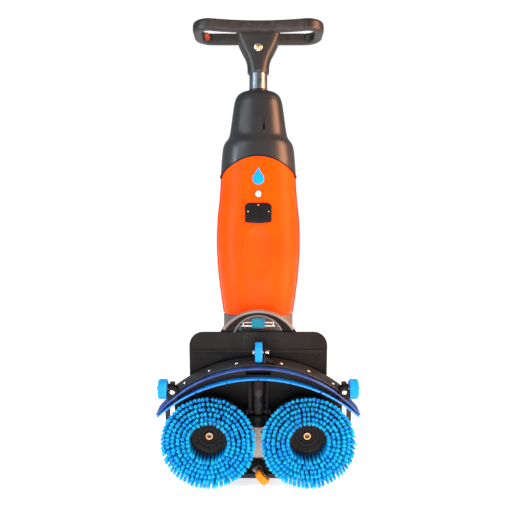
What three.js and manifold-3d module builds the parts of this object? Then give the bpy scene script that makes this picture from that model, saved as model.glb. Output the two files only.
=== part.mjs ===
// Wet dry floor scrubber with a swivelling tank column, drawn with its column and its deck in one line and
// standing on the front bumper. Millimetres. X is across the machine, +Y points away from the operator and
// +Z is up. The origin lies on the face of the bumper that it stands on.
import * as THREE from "three";
import { mergeVertices } from "three/addons/utils/BufferGeometryUtils.js";
import Module from "manifold-3d";

const wasm = await Module();
wasm.setup();

// ---- driving dimensions -------------------------------------------------------------------------------
const GAP = 0.3; // clearance between pieces that touch
const LEAN = THREE.MathUtils.degToRad(8); // the deck leans towards the operator by this much
const PIVOT = { y: -30, z: 324, h: 163 }; // universal joint: place in the machine, height over the floor side

const BRUSH = { x: 122, s: -188, r: 116, disc: 104, hole: 46, bristle: 44 };
const PLATE = { low: 78, high: 84, rear: 172, front: 212, top: 70 }; // deck plate: faces and half widths
const ARCH = { r: 108, s: 17, window: 62.6, windowS: 46.4, thick: 8 };
const REAR_BLADE = { r: 320, s: -320, halfAngle: 0.872 };
const FRONT_BLADE = { r: 362, s: -388, halfAngle: 0.735 };
const BLADE_THICK = 4;
const ROLLER_R = 24;
const FIN_S = 35; // the centre roller's axle
const CASTER = { s: -272, r: 17, width: 16, trail: 14, pin: 6 };
const HOSE = { r: 12, h: 60, from: -62, to: -131, socketS: -146 };

const TANK_DEPTH = 0.86; // depth of the column's section over its width
const SEAM = { side: 783, apex: 828 }; // arched seam between tanks and shoulder cover
const TANK_FLOOR = 420;
const BASE = { low: 372, high: 419, halfWidth: 92, wall: 5 };
const POST = { r: 24, low: 862, high: 1094 };
const LOOP = { z: 1172, halfWidth: 161, halfDepth: 56, wide: 23, tall: 28 };

// ---- materials ----------------------------------------------------------------------------------------
const finish = (color, roughness, metalness = 0) =>
  new THREE.MeshStandardMaterial({ color, roughness, metalness });
const ORANGE = finish(0xff4a0a, 0.32);
const BLACK = finish(0x2a2b2d, 0.42);
const GLOSS_BLACK = finish(0x333538, 0.28);
const RUBBER = finish(0x1c1c1e, 0.8);
const BRISTLE_BLUE = finish(0x00a6f0, 0.5);
const BLADE_BLUE = finish(0x1660b8, 0.45);
const CYAN = finish(0x00b9e0, 0.45);
const STEEL = finish(0xb8bcc0, 0.3, 1);
const DARK_STEEL = finish(0x5c6367, 0.3, 0.9);
const CREAM = finish(0xdfd3c3, 0.55);
const AMBER = finish(0xf5a012, 0.4);
const RED = finish(0xc04040, 0.45);
const GREY = finish(0x7d736c, 0.5);
const GLASS = finish(0x10161c, 0.08);
const WHITE = finish(0xf2efe9, 0.35);

// ---- solids -------------------------------------------------------------------------------------------
// A three.js geometry as a closed solid that can be cut and joined.
function solid(geometry) {
  const bare = geometry.clone();
  bare.deleteAttribute("normal");
  bare.deleteAttribute("uv");
  const merged = mergeVertices(bare, 1e-3);
  const mesh = new wasm.Mesh({
    numProp: 3,
    vertProperties: new Float32Array(merged.attributes.position.array),
    triVerts: new Uint32Array(merged.index.array),
  });
  return new wasm.Manifold(mesh);
}

const join = (...solids) => solids.reduce((a, b) => a.add(b));
const cut = (body, ...tools) => tools.reduce((a, b) => a.subtract(b), body);

function box(width, depth, height, x, y, z) {
  return solid(new THREE.BoxGeometry(width, depth, height).translate(x, y, z));
}

// A cylinder about the axis "x", "y" or "z", centred on the point given.
function cylinder(radius, length, axis, x, y, z, sides = 16, radiusFar = radius) {
  const g = new THREE.CylinderGeometry(radiusFar, radius, length, sides);
  if (axis === "z") g.rotateX(Math.PI / 2);
  if (axis === "x") g.rotateZ(-Math.PI / 2);
  return solid(g.translate(x, y, z));
}

// An outline in X and Z, drawn out along Y from yLow to yHigh.
function slab(outline, yLow, yHigh, holes = []) {
  const shape = new THREE.Shape(outline.map(([x, z]) => new THREE.Vector2(x, z)));
  holes.forEach((h) => shape.holes.push(new THREE.Path(h.map(([x, z]) => new THREE.Vector2(x, z)))));
  const g = new THREE.ExtrudeGeometry(shape, { depth: yHigh - yLow, bevelEnabled: false });
  return solid(g.rotateX(Math.PI / 2).translate(0, yHigh, 0));
}

// Rings of points joined into one closed skin; the ends are closed, or the last ring meets the first.
function loft(rings, endless = false) {
  const n = rings[0].length;
  const position = rings.flat(2);
  const index = [];
  const spans = endless ? rings.length : rings.length - 1;
  for (let i = 0; i < spans; i++) {
    const here = i * n;
    const next = ((i + 1) % rings.length) * n;
    for (let j = 0; j < n; j++) {
      const k = (j + 1) % n;
      index.push(here + j, here + k, next + k, here + j, next + k, next + j);
    }
  }
  if (!endless) {
    [rings[0], rings[rings.length - 1]].forEach((ring, end) => {
      const start = end ? (rings.length - 1) * n : 0;
      const centre = position.length / 3;
      position.push(...[0, 1, 2].map((c) => ring.reduce((sum, p) => sum + p[c], 0) / n));
      for (let j = 0; j < n; j++) {
        const k = (j + 1) % n;
        index.push(...(end ? [start + j, start + k, centre] : [start + k, start + j, centre]));
      }
    });
  }
  const g = new THREE.BufferGeometry();
  g.setAttribute("position", new THREE.BufferAttribute(new Float32Array(position), 3));
  g.setIndex(index);
  if (signedVolume(g) < 0) g.setIndex(index.slice().reverse());
  return solid(g);
}

function signedVolume(g) {
  const p = g.attributes.position;
  const i = g.index.array;
  const v = [new THREE.Vector3(), new THREE.Vector3(), new THREE.Vector3()];
  let sum = 0;
  for (let t = 0; t < i.length; t += 3) {
    v.forEach((corner, c) => corner.fromBufferAttribute(p, i[t + c]));
    sum += v[0].dot(v[1].cross(v[2]));
  }
  return sum / 6;
}

// A profile of [radius, height] points turned about an upright axis; it starts and ends on the axis.
function turned(profile, sides = 32) {
  return solid(new THREE.LatheGeometry(profile.map(([r, z]) => new THREE.Vector2(r, z)), sides).rotateX(Math.PI / 2));
}

// Points of a circular arc, from angle a to angle b in radians.
function arc(cx, cz, r, a, b, steps) {
  return Array.from({ length: steps + 1 }, (_, i) => {
    const t = a + ((b - a) * i) / steps;
    return [cx + r * Math.cos(t), cz + r * Math.sin(t)];
  });
}

// ---- the scene graph ----------------------------------------------------------------------------------
const machine = new THREE.Group();
const deck = new THREE.Group(); // its own Y is height over the floor side, its own Z runs along the deck
deck.position.set(0, PIVOT.y, PIVOT.z);
deck.rotation.x = LEAN;
machine.add(deck);

// Puts a solid into a group as a named mesh.
function piece(name, body, material, group = machine) {
  const raw = body.getMesh();
  const g = new THREE.BufferGeometry();
  const xyz = new Float32Array(raw.numVert * 3);
  for (let i = 0; i < raw.numVert; i++)
    xyz.set(raw.vertProperties.subarray(i * raw.numProp, i * raw.numProp + 3), i * 3);
  g.setAttribute("position", new THREE.BufferAttribute(xyz, 3));
  g.setIndex(new THREE.BufferAttribute(new Uint32Array(raw.triVerts), 1));
  g.computeVertexNormals();
  const mesh = new THREE.Mesh(g, material);
  mesh.name = name;
  group.add(mesh);
  return mesh;
}

// Height over the floor side of the deck, as the deck group's own Y.
const high = (h) => h - PIVOT.h;

// ---- column: the tank body's outline ------------------------------------------------------------------
const TANK_PROFILE = [[420, 93.5], [450, 98], [520, 107], [600, 112], [670, 110], [730, 104], [786, 100.5], [846, 96]];
const COVER_PROFILE = [[775, 101], [846, 96], [868, 91], [884, 80], [900, 75.5], [974, 65], [990, 60.5],
  [1000, 54], [1007, 43], [1010, 30]];
const NECK_PROFILE = [[1064, 29], [1082, 30], [1099, 34.5], [1118, 44], [1137, 52.5], [1158, 59]];
const FRONT_INSET = 5; // the front tank is this much narrower each side than the rear one
const SECTION_POWER = 2.5; // 2 is an ellipse; more is squarer
const SPLIT = 8.5; // half the width of the space for the spine

// Half width at height z, on a smooth curve through the profile's points.
function widthAt(profile, z) {
  const last = profile.length - 1;
  const above = profile.findIndex((p) => p[0] > z);
  const i = above < 0 ? last - 1 : Math.max(0, above - 1);
  const slope = (k) => {
    const [a, b] = [profile[Math.max(0, k - 1)], profile[Math.min(last, k + 1)]];
    return (b[1] - a[1]) / (b[0] - a[0]);
  };
  const span = profile[i + 1][0] - profile[i][0];
  const t = Math.min(1, Math.max(0, (z - profile[i][0]) / span));
  const bend = [slope(i) * span, slope(i + 1) * span];
  const [t2, t3] = [t * t, t * t * t];
  return (2 * t3 - 3 * t2 + 1) * profile[i][1] + (t3 - 2 * t2 + t) * bend[0] +
    (3 * t2 - 2 * t3) * profile[i + 1][1] + (t3 - t2) * bend[1];
}

const rounded = (v, power = SECTION_POWER) => Math.sign(v) * Math.abs(v) ** (2 / power);

// One closed ring of the column's section.
function fullRing(halfWidth, halfDepth, z, sides = 28, power = SECTION_POWER, y = 0) {
  return Array.from({ length: sides }, (_, i) => {
    const t = (2 * Math.PI * i) / sides;
    return [halfWidth * rounded(Math.cos(t), power), y + halfDepth * rounded(Math.sin(t), power), z];
  });
}

// One half of the section, on the operator's side (-1) or the far side (+1) of the spine.
function halfRing(halfWidth, halfDepth, z, side, split) {
  const steps = 14;
  return Array.from({ length: steps + 1 }, (_, i) => {
    const t = (Math.PI * i) / steps;
    return [halfWidth * rounded(Math.cos(t)), side * (split + (halfDepth - split) * rounded(Math.sin(t))), z];
  });
}

const heights = (from, to, steps) => Array.from({ length: steps + 1 }, (_, i) => from + ((to - from) * i) / steps);

// One tank's bulk, grown outwards by `grow`, or shrunk if that is negative.
function tankBulk(side, grow, from, to, split = SPLIT) {
  const inset = side < 0 ? FRONT_INSET : 0;
  return loft(heights(from, to, 9).map((z) => {
    const w = widthAt(TANK_PROFILE, z);
    return halfRing(w - inset + grow, w * TANK_DEPTH + grow, z, side, split);
  }));
}

// Everything above the arched seam, or everything below it, from the far height given and `lower` beneath the seam.
function besideSeam(farHeight, lower = 0) {
  const reach = 130;
  const curve = heights(-reach, reach, 16).map((x) =>
    [x, SEAM.apex - (SEAM.apex - SEAM.side) * (x / 100) ** 2 - lower]);
  return slab([...curve, [reach, farHeight], [-reach, farHeight]], -reach, reach);
}

const MOUTH = { r: 24, y: 46 }; // each tank's filling hole
const TANK_WALL = 5;

function tank(side) {
  const outer = tankBulk(side, 0, TANK_FLOOR, 840);
  const hollow = tankBulk(side, -TANK_WALL, TANK_FLOOR + TANK_WALL, 770, SPLIT + TANK_WALL);
  const mouth = cylinder(MOUTH.r, 120, "z", 0, side * MOUTH.y, 800);
  return cut(outer, besideSeam(1300, GAP), hollow, mouth);
}

function tankCap(side) {
  const rim = SEAM.apex + 1;
  const knob = cylinder(25.5, 13, "z", 0, side * MOUTH.y, rim + 6.5, 18);
  const plug = cylinder(MOUTH.r - 0.8, 14, "z", 0, side * MOUTH.y, rim - 6);
  return join(knob, plug);
}

// ---- column: pieces -----------------------------------------------------------------------------------
const SCOOP = { x: 50, depth: 3.5, z: 552, tall: 108 };

function recoveryTank() {
  const bulge = 9;
  const front = -widthAt(TANK_PROFILE, SCOOP.z) * TANK_DEPTH;
  const scoop = solid(new THREE.SphereGeometry(1, 24, 14).scale(SCOOP.x, bulge, SCOOP.tall)
    .translate(0, front - bulge + SCOOP.depth, SCOOP.z));
  return cut(tank(-1), scoop);
}

// A flat outline pressed onto the front tank, standing `proud` off its skin.
function onFront(outline, proud) {
  const block = slab(outline, -120, -60);
  return block.intersect(tankBulk(-1, proud, TANK_FLOOR, 840)).subtract(tankBulk(-1, GAP, TANK_FLOOR, 840));
}

const PLATE_OUTLINE = [...arc(0, 860, 206, -1.735, -1.4065, 8), [34.5, 698], [24, 706], [-24, 706], [-34.5, 698]];
const DROP_OUTLINE = [...arc(0, 768, 15, 2.75, 6.67, 18), [0, 797]];
const WINDOW_OUTLINE = arc(0, 729, 8.3, 0, 2 * Math.PI, 20).slice(1);

function columnFrame() {
  const plate = box(140, 14, 370, 0, 0, 604.7);
  const neck = box(70, 14, 70, 0, 0, 822);
  const socket = cylinder(31, 62, "z", 0, 0, 874);
  return cut(join(plate, neck, socket), cylinder(POST.r + GAP, 60, "z", 0, 0, POST.low + 30 - GAP));
}

function columnBase() {
  const cup = (grow, low, high) => loft([low, high].map((z) =>
    fullRing(BASE.halfWidth + grow, BASE.halfWidth * TANK_DEPTH + grow, z)));
  const slots = [-36, -18, 0, 18, 36].map((x) => box(7, 60, 24, x, 90, 396));
  return cut(cup(0, BASE.low, BASE.high), cup(-BASE.wall, BASE.low + BASE.wall, BASE.high + 10), ...slots);
}

const COVER_TOP = 1010;

function shoulderCover() {
  const levels = [830, 850, 866, 878, 890, 905, 974, 985, 993, 1000, 1005, COVER_TOP];
  const skin = (grow, from, to) => loft([from, ...levels.filter((z) => z <= to)].map((z) => {
    const w = widthAt(COVER_PROFILE, z) + grow;
    return fullRing(w, w * TANK_DEPTH, z, 24, 2.4);
  }));
  const wall = 4.5;
  const bore = cylinder(POST.r + GAP, 80, "z", 0, 0, COVER_TOP);
  return cut(skin(0, 775, COVER_TOP), skin(-wall, 770, 993), besideSeam(700), bore);
}

function handlePost() {
  const length = POST.high - POST.low;
  const middle = (POST.high + POST.low) / 2;
  return cut(cylinder(POST.r, length, "z", 0, 0, middle), cylinder(POST.r - 3, length + 2, "z", 0, 0, middle));
}

const NECK_LOW = 1064;
const NECK_TOP = 1176;
const BUTTON_R = 7;
const KEYS = { power: -34, mode: 34 };
const NECK_SCREW = { y: 35, z: 1120 };

function neckShell() {
  const funnel = heights(NECK_LOW, 1158, 8).map((z) => {
    const t = (z - NECK_LOW) / (1158 - NECK_LOW);
    return fullRing(widthAt(NECK_PROFILE, z), 29.5 + 14.5 * t, z, 28, 2 + 3 * t);
  });
  const head = fullRing(57, 44.5, NECK_TOP, 28, 5);
  const pockets = Object.values(KEYS).map((x) => cylinder(BUTTON_R + 1, 20, "z", x, 0, NECK_TOP));
  return cut(loft([...funnel, head]), cylinder(POST.r + GAP, 40, "z", 0, 0, POST.high - 20 + GAP),
    cylinder(11, 30, "y", 0, -NECK_SCREW.y - 15, NECK_SCREW.z, 20), ...pockets);
}

function consolePanel() {
  const plate = loft([NECK_TOP + GAP, NECK_TOP + 4].map((z) => fullRing(52, 38, z, 24, 5)));
  return cut(plate, ...Object.values(KEYS).map((x) => cylinder(BUTTON_R + GAP, 20, "z", x, 0, NECK_TOP)));
}

// Places along the handle loop's centre line: a point, and the direction out of the loop.
const CORNER_R = 34;
const GRIP_END = 126.5;

function loopPath() {
  const [w, d] = [LOOP.halfWidth, LOOP.halfDepth];
  const end = (sx) => arc(sx * (w - CORNER_R), d - CORNER_R, CORNER_R, sx > 0 ? 0 : Math.PI, Math.PI / 2, 5)
    .map(([x, y]) => ({ x, y, out: [x - sx * (w - CORNER_R), y - (d - CORNER_R)] }));
  const bar = [60, -60].map((x) => ({ x, y: d, out: [0, 1] }));
  const rear = [...end(1), ...bar, ...end(-1).reverse()];
  return [...rear, ...rear.map((p) => ({ x: -p.x, y: -p.y, out: [-p.out[0], -p.out[1]] }))];
}

function loopSkin(path, wide, tall, endless) {
  return loft(path.map(({ x, y, out }) => {
    const n = new THREE.Vector2(...out).normalize();
    return Array.from({ length: 10 }, (_, i) => {
      const t = (2 * Math.PI * (i + 0.5)) / 10;
      const o = (wide / 2) * rounded(Math.cos(t), 3.4);
      return [x + n.x * o, y + n.y * o, LOOP.z + (tall / 2) * rounded(Math.sin(t), 3.4)];
    });
  }), endless);
}

const RED_BUTTON = { angle: 2.36, r: 9.5 };

function redButtonAxis() {
  const centre = [-(LOOP.halfWidth - CORNER_R), LOOP.halfDepth - CORNER_R];
  return { centre, dir: [Math.cos(RED_BUTTON.angle), Math.sin(RED_BUTTON.angle)] };
}

// A cylinder across the loop's rear left corner, between two distances from the corner's centre.
function acrossCorner(radius, from, to) {
  const { centre, dir } = redButtonAxis();
  const g = new THREE.CylinderGeometry(radius, radius, to - from, 24).rotateZ(RED_BUTTON.angle - Math.PI / 2);
  const middle = (from + to) / 2;
  return solid(g.translate(centre[0] + dir[0] * middle, centre[1] + dir[1] * middle, LOOP.z));
}

function gripBars(grow) {
  return [-1, 1].map((side) => loopSkin([-GRIP_END - grow, GRIP_END + grow].map((x) =>
    ({ x, y: side * LOOP.halfDepth, out: [0, side] })), 60, 60, false));
}

function handleLoop() {
  const whole = loopSkin(loopPath(), LOOP.wide, LOOP.tall, true);
  const core = loopSkin(loopPath(), LOOP.wide - 4, LOOP.tall - 4, true);
  const ends = cut(whole, ...gripBars(GAP));
  return cut(join(ends, core), acrossCorner(RED_BUTTON.r + GAP, 10, 34));
}

function grip(side) {
  const run = [-GRIP_END, -60, 0, 60, GRIP_END].map((x) => ({ x, y: side * LOOP.halfDepth, out: [0, side] }));
  const bore = run.map((p) => ({ ...p, x: p.x * 1.02 }));
  return cut(loopSkin(run, LOOP.wide, LOOP.tall, false), loopSkin(bore, LOOP.wide - 3.4, LOOP.tall - 3.4, false));
}

function upperYoke() {
  const { y, z } = PIVOT;
  const foot = box(60, 62, 8, 0, y, BASE.low - GAP - 4);
  const arms = [-1, 1].map((side) => join(
    box(24, 8, 44, 0, y + side * 24, z + 22),
    cylinder(12, 8, "y", 0, y + side * 24, z),
  ));
  return cut(join(foot, ...arms), cylinder(5 + GAP, 90, "y", 0, y, z));
}

function jointCross() {
  const { y, z } = PIVOT;
  return join(box(24, 30, 24, 0, y, z), cylinder(5, 56, "y", 0, y, z), cylinder(5, 80, "x", 0, y, z));
}

piece("column_frame", columnFrame(), BLACK);
piece("column_base", columnBase(), GREY);
piece("suction_motor", cylinder(62, 34, "z", 0, 0, BASE.low + BASE.wall + GAP + 17, 32), DARK_STEEL);
piece("upper_yoke", upperYoke(), DARK_STEEL);
piece("joint_cross", jointCross(), STEEL);
piece("recovery_tank", recoveryTank(), ORANGE);
piece("solution_tank", tank(1), ORANGE);
piece("recovery_cap", tankCap(-1), BLACK);
piece("solution_cap", tankCap(1), BLACK);
piece("name_plate", onFront(PLATE_OUTLINE, 6), GLOSS_BLACK);
piece("drop_mark", onFront(DROP_OUTLINE, 1.6), BRISTLE_BLUE);
piece("level_window", onFront(WINDOW_OUTLINE, 2), WHITE);
piece("shoulder_cover", shoulderCover(), GLOSS_BLACK);
piece("handle_post", handlePost(), DARK_STEEL);
piece("neck_shell", neckShell(), BLACK);
piece("console_panel", consolePanel(), GLOSS_BLACK);
piece("display_lens", box(40, 30, 1.6, 0, 0, NECK_TOP + 5.1), GLASS);
Object.entries(KEYS).forEach(([name, x]) =>
  piece(name + "_button", cylinder(BUTTON_R, 12, "z", x, 0, NECK_TOP + 1, 20),
    name === "power" ? BRISTLE_BLUE : WHITE));
piece("neck_screw", cut(cylinder(9.5, 5, "y", 0, -NECK_SCREW.y - 2.5 - GAP, NECK_SCREW.z, 20),
  box(6, 6, 6, 0, -NECK_SCREW.y - 7, NECK_SCREW.z)), STEEL);
piece("handle_loop", handleLoop(), BLACK);
piece("front_grip", grip(-1), RUBBER);
piece("rear_grip", grip(1), RUBBER);
piece("red_button", acrossCorner(RED_BUTTON.r, 19.5, 30), RED);

// ---- deck: plates and structure -----------------------------------------------------------------------
const mirror = (half) => [...half, ...half.slice().reverse().map(([x, s]) => [-x, s])];
const MOTOR = { r: 44, low: PLATE.high + GAP, high: 158 };
const RIB = { s: 21.5, half: 164, wide: 8, proud: 4 };

function deckPlate() {
  const outline = mirror([
    ...arc(PLATE.rear - 34, PLATE.top - 34, 34, Math.PI / 2, 0, 6), [PLATE.rear, -62],
    [PLATE.front - 14, -92], ...arc(PLATE.front - 22, -118, 22, 0.6, 0, 3),
    ...arc(PLATE.front - 92, -200, 92, 0, -Math.PI / 2, 6),
  ]);
  const body = slab(outline, high(PLATE.low), high(PLATE.high));
  const rib = box(2 * RIB.half, RIB.proud + 2, RIB.wide, 0, high(PLATE.low - RIB.proud / 2 + 1), RIB.s);
  const shafts = [-1, 1].map((side) => cylinder(16, 30, "y", side * BRUSH.x, high(PLATE.low), BRUSH.s));
  const port = cylinder(13, 30, "y", 0, high(PLATE.low), HOSE.socketS, 16);
  const pivot = cylinder(CASTER.pin, 40, "y", 0, high(PLATE.low), CASTER.s, 16);
  return cut(join(body, rib), ...shafts, port, pivot);
}

function archPlate() {
  const outline = [[ARCH.r - 14, 40], ...arc(0, ARCH.s, ARCH.r, 0.42, Math.PI - 0.42, 18), [14 - ARCH.r, 40]];
  const window = arc(0, ARCH.windowS, ARCH.window, 0.386, Math.PI - 0.386, 14);
  const low = high(PLATE.high + GAP);
  const plate = slab(outline, low, low + ARCH.thick, [window]);
  const rimPath = arc(0, ARCH.s, ARCH.r, 0.6, Math.PI - 0.6, 14);
  const rim = slab([...rimPath, ...arc(0, ARCH.s, ARCH.r - 7, Math.PI - 0.6, 0.6, 14)], low - 4, low + 1);
  return join(plate, rim);
}

// The bumper's straight front run has a foot that is level when the deck leans.
function frontBumper() {
  const [low, top, thick, corner] = [76, 180, 12, 70];
  const offset = (h) => 9 + (h - low) * Math.tan(LEAN);
  const half = 226;
  const front = 9 - (PIVOT.z + (low - PIVOT.h) * Math.sin(LEAN)) / Math.cos(LEAN);
  const turn = { x: half - corner, s: front + corner };
  const path = mirror([[half, -132], ...arc(turn.x, turn.s, corner, 0, -Math.PI / 2, 6)]);
  const rings = path.map(([x, s]) => {
    const out = new THREE.Vector2(Math.sign(x) * Math.max(0, Math.abs(x) - turn.x), Math.min(0, s - turn.s)).normalize();
    const at = (o, h) => [x + out.x * o, high(h), s + out.y * o];
    return [at(offset(low), low), at(offset(top), top), at(offset(top) - thick, top), at(offset(low) - thick, low)];
  });
  return loft(rings);
}

// The lid over the motors: a plate with a shallow skirt, inside the bumper.
function deckCover() {
  const outline = (edge) => mirror([...arc(190 - edge, -146, 14, Math.PI / 2, 0, 4),
    ...arc(150 - edge, -246 + edge, 54, 0, -Math.PI / 2, 6)]);
  const lid = slab(outline(0), high(161), high(178));
  const hollow = slab(outline(5), high(150), high(174));
  const caps = [-1, 1].map((side) => cylinder(36, 60, "y", side * BRUSH.x, high(170), BRUSH.s, 20));
  const rims = [-1, 1].map((side) => cylinder(42, 16, "y", side * BRUSH.x, high(173), BRUSH.s, 20));
  return cut(join(cut(lid, hollow), ...rims), ...caps);
}

function lowerYoke() {
  const foot = box(96, 9, 60, 0, high(PLATE.high + ARCH.thick + 2 * GAP + 4.5), 0);
  const ears = [-1, 1].map((side) => join(
    box(10, PIVOT.h - 96, 26, side * 35, -(PIVOT.h - 96) / 2, 0),
    cylinder(13, 10, "x", side * 35, 0, 0),
  ));
  return cut(join(foot, ...ears), cylinder(5 + GAP, 90, "x", 0, 0, 0));
}

// ---- deck: drives and brushes -------------------------------------------------------------------------
function brushMotor(side) {
  const x = side * BRUSH.x;
  const can = cylinder(MOTOR.r, MOTOR.high - MOTOR.low, "y", x, high((MOTOR.high + MOTOR.low) / 2), BRUSH.s, 20);
  const cap = cylinder(34, 14, "y", x, high(MOTOR.high + 5), BRUSH.s, 20);
  const flange = cylinder(56, 6, "y", x, high(MOTOR.low + 3), BRUSH.s, 20);
  const shaft = cylinder(8, 40, "y", x, high(MOTOR.low - 12), BRUSH.s, 16);
  return join(can, cap, flange, shaft);
}

// Profiles of [radius, height over the floor side] turned about a brush's own axis.
function brushTurned(profile, sides = 20) {
  return solid(new THREE.LatheGeometry(profile.map(([r, h]) => new THREE.Vector2(r, high(h))), sides));
}

function brushDisc() {
  const bore = 8 + GAP;
  return brushTurned([[bore, 50], [20, 50], [44, 47], [46, 44 + GAP], [BRUSH.disc, 44 + GAP], [BRUSH.disc, 56],
    [44, 60], [26, 62], [26, 74], [bore, 74], [bore, 50]]);
}

function bristleRing() {
  return brushTurned([[BRUSH.hole, 0], [BRUSH.r, 0], [BRUSH.disc, BRUSH.bristle], [BRUSH.hole + 1, BRUSH.bristle],
    [BRUSH.hole, 0]]);
}

// ---- deck: power, water and latch ---------------------------------------------------------------------
const BATTERY = { x: 113, halfWidth: 49, low: PLATE.high + GAP, high: 142, s: -66, halfLength: 48 };

function battery(side) {
  const { x, halfWidth, low, halfLength } = BATTERY;
  const top = BATTERY.high - 8;
  const ring = (w, l, h) => fullRing(w, l, h, 20, 7).map(([a, b, c]) => [side * x + a, high(c), BATTERY.s + b]);
  const block = loft([ring(halfWidth, halfLength, low), ring(halfWidth, halfLength, top - 4),
    ring(halfWidth - 4, halfLength - 4, top)]);
  const bar = box(64, 6, 14, side * x, high(BATTERY.high - 3), BATTERY.s);
  const feet = [-27, 27].map((dx) => box(10, 12, 14, side * x + dx, high(BATTERY.high - 8), BATTERY.s));
  return join(block, bar, ...feet);
}

function suctionHose() {
  return cylinder(HOSE.r, HOSE.from - HOSE.to, "z", 0, high(HOSE.h), (HOSE.from + HOSE.to) / 2, 12);
}

function hoseSocket() {
  const block = join(
    box(44, 32, 22, 0, high(PLATE.low - GAP - 16), HOSE.socketS),
    cylinder(22, 26, "z", 0, high(HOSE.h), HOSE.socketS - 3),
  );
  const keep = box(100, 40, 80, 0, high(PLATE.low - GAP - 20), HOSE.socketS);
  const bore = cylinder(HOSE.r + 1, 30, "z", 0, high(HOSE.h), HOSE.socketS + 8, 16);
  const flange = box(66, 5, 40, 0, high(PLATE.low - GAP - 2.5), HOSE.socketS + 9);
  return cut(join(block.intersect(keep), flange, ...floatPins()), bore,
    cylinder(11, 30, "y", 0, high(75), HOSE.socketS, 16));
}

function solutionPump() {
  const can = cylinder(19, 46, "z", 0, high(PLATE.high + GAP + 20), -196);
  const foot = box(44, 8, 36, 0, high(PLATE.high + GAP + 4), -196);
  return join(can, foot, cylinder(6, 14, "z", 9, high(PLATE.high + GAP + 22), -168, 12));
}

const LATCH = { s: 80, h: 101, wire: 2 };

function latchShelf() {
  const low = PLATE.high + ARCH.thick + 2 * GAP;
  const shelf = box(112, 20, 6, 0, high(low + 10), 65);
  const posts = [-1, 1].map((side) => join(
    box(6, 14, 18, side * 46, high(LATCH.h), 75),
    cylinder(7, 6, "x", side * 46, high(LATCH.h), LATCH.s),
  ));
  return cut(join(shelf, ...posts), cylinder(LATCH.wire + GAP, 120, "x", 0, high(LATCH.h), LATCH.s, 12));
}

function latchBail() {
  const rod = cylinder(LATCH.wire, 104, "x", 0, high(LATCH.h), LATCH.s, 12);
  const heads = [-1, 1].map((side) => cylinder(4, 3, "x", side * 51, high(LATCH.h), LATCH.s, 12));
  const wire = [[-38, 0], [-38, 9], [38, 9], [38, 0]]
    .map(([x, ds]) => new THREE.Vector3(x, high(LATCH.h), LATCH.s + ds));
  const runs = [0, 1, 2].map((i) => rodBetween(wire[i], wire[i + 1], LATCH.wire));
  return join(rod, ...heads, ...runs, ...wire.map((p) => solid(new THREE.SphereGeometry(LATCH.wire, 8, 6)
    .translate(p.x, p.y, p.z))));
}

function rodBetween(a, b, r) {
  const along = b.clone().sub(a);
  const g = new THREE.CylinderGeometry(r, r, along.length(), 10);
  g.applyQuaternion(new THREE.Quaternion().setFromUnitVectors(new THREE.Vector3(0, 1, 0), along.clone().normalize()));
  const middle = a.clone().add(b).multiplyScalar(0.5);
  return solid(g.translate(middle.x, middle.y, middle.z));
}

function latchBlock() {
  const outline = [[-15.5, -4], [15.5, -4], [17, 18], [14, 21], [-14, 21], [-17, 18]].map(([x, s]) => [x, s + LATCH.s]);
  const body = slab(outline, high(LATCH.h - 6), high(LATCH.h + 6));
  const gap = LATCH.wire + GAP;
  return cut(body, cylinder(gap, 50, "x", 0, high(LATCH.h), LATCH.s, 12),
    cylinder(gap, 50, "x", 0, high(LATCH.h), LATCH.s + 9, 12));
}

// ---- deck: squeegee -----------------------------------------------------------------------------------
const UP = Math.PI / 2;
const LUG = { x: 211, s: -57, wide: 12 };
const FLOAT_ARM = { x: 21, s: -125, h: 53 };

// A band that follows an arc: from radius rIn to rOut, over halfAngle each side of the apex.
function bandOutline(blade, rIn, rOut, halfAngle, steps = 18) {
  return [
    ...arc(0, blade.s, rOut, UP - halfAngle, UP + halfAngle, steps),
    ...arc(0, blade.s, rIn, UP + halfAngle, UP - halfAngle, steps),
  ];
}

function blade(kind, top) {
  const half = BLADE_THICK / 2;
  return slab(bandOutline(kind, kind.r - half, kind.r + half, kind.halfAngle), high(0.4), high(top));
}

// The moulding between the two blades, with the arms that it floats on.
function squeegeeBody() {
  const clear = BLADE_THICK / 2 + 1;
  const [outerReach, innerReach] = [0.787, 0.6655];
  const outer = arc(0, REAR_BLADE.s, REAR_BLADE.r - clear, UP - outerReach, UP + outerReach, 18);
  const inner = arc(0, FRONT_BLADE.s, FRONT_BLADE.r + clear, UP + innerReach, UP - innerReach, 18);
  const moulding = slab([...outer, ...inner], high(16), high(56));
  const arms = [-1, 1].map((side) => join(
    box(8, 9, 104, side * FLOAT_ARM.x, high(FLOAT_ARM.h), FLOAT_ARM.s + 52),
    cylinder(8, 8, "x", side * FLOAT_ARM.x, high(FLOAT_ARM.h), FLOAT_ARM.s, 16),
  ));
  const mouth = cylinder(HOSE.r + 2, 26, "z", 0, high(44), HOSE.from + 13 + GAP, 20);
  const bridge = box(48, 9, 12, 0, high(FLOAT_ARM.h - 1), -40);
  const slot = box(60, 30, 10, 0, high(20), -14);
  const strip = slab(bandOutline(FRONT_BLADE, FRONT_BLADE.r - 7, FRONT_BLADE.r - clear, 0.6, 14),
    high(34), high(56));
  const upper = box(48, 4, 30, 0, high(54), -33);
  return cut(join(moulding, strip, bridge, upper, ...arms, mouth), slot,
    cylinder(4 + GAP, 80, "x", 0, high(FLOAT_ARM.h), FLOAT_ARM.s, 14));
}

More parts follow.
